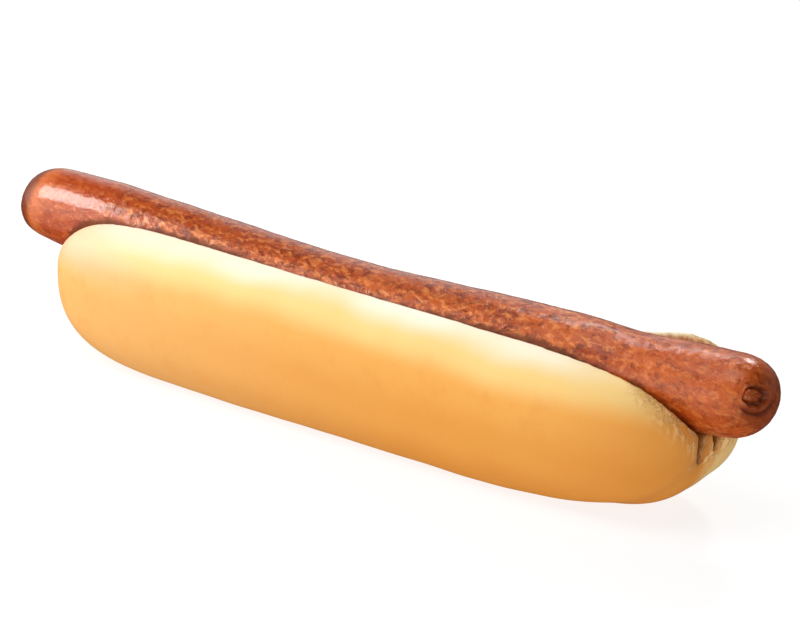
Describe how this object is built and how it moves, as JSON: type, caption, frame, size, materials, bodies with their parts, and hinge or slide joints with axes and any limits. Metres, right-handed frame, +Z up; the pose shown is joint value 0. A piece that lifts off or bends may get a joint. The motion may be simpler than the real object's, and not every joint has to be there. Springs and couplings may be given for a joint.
{
  "type": "hot dog",
  "caption": "Foot-long hot dog: a long smoked sausage with puckered tips lying in the slot of a soft golden roll that stands on its hinge, with no toppings.",
  "frame": {"origin": "on the table, under the middle of the whole object, where the roll's flat foot rests", "axes": "+X along the sausage, +Y towards the thinner half of the roll, +Z up out of the slot"},
  "size_m": [0.3068, 0.0517, 0.057],
  "materials": {
    "bread": "soft white bread: smooth satin crust, cream at the rim and golden brown below, with a pale porous crumb where it is sliced",
    "sausage_casing": "grilled reddish-brown casing, mottled, finely pebbled and shiny with fat"
  },
  "bodies": {
    "root": {"bun": "bread", "sausage": "sausage_casing"}
  },
  "joints": []
}
